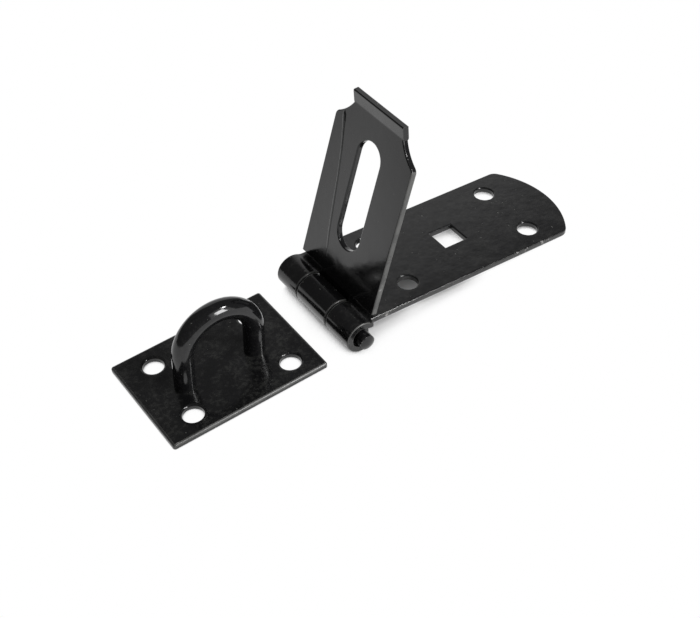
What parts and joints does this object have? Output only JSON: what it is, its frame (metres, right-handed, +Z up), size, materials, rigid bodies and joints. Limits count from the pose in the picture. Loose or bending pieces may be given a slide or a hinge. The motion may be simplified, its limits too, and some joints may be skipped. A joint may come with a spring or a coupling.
{
  "type": "safety hasp and staple",
  "caption": "Black enamelled steel hasp and staple: a base plate with a rounded end and rolled hinge, a slotted leaf with a finger lip, and a riveted padlock loop on a plate.",
  "frame": {"origin": "midway between the staple plate's screw holes, on its underside and on the table that the set lies on", "axes": "+Z up from the table, +X from the staple towards the hasp's rounded end, Y along the hinge pin"},
  "size_m": [0.1552, 0.0437, 0.0679],
  "materials": {
    "enamelled_sheet": "gloss black stoved enamel",
    "enamelled_bar": "gloss black stoved enamel"
  },
  "bodies": {
    "base": {"base_plate": "enamelled_sheet", "hinge_pin": "enamelled_bar", "staple_plate": "enamelled_sheet", "staple_loop": "enamelled_bar"},
    "leaf": {"hasp_leaf": "enamelled_sheet"}
  },
  "joints": [
    {"name": "leaf_hinge", "type": "hinge", "parent": "base", "child": "leaf", "pos_m": [0.038, 0, 0.00545], "axis": [0, -1, 0], "range_deg": [0, 113]}
  ]
}
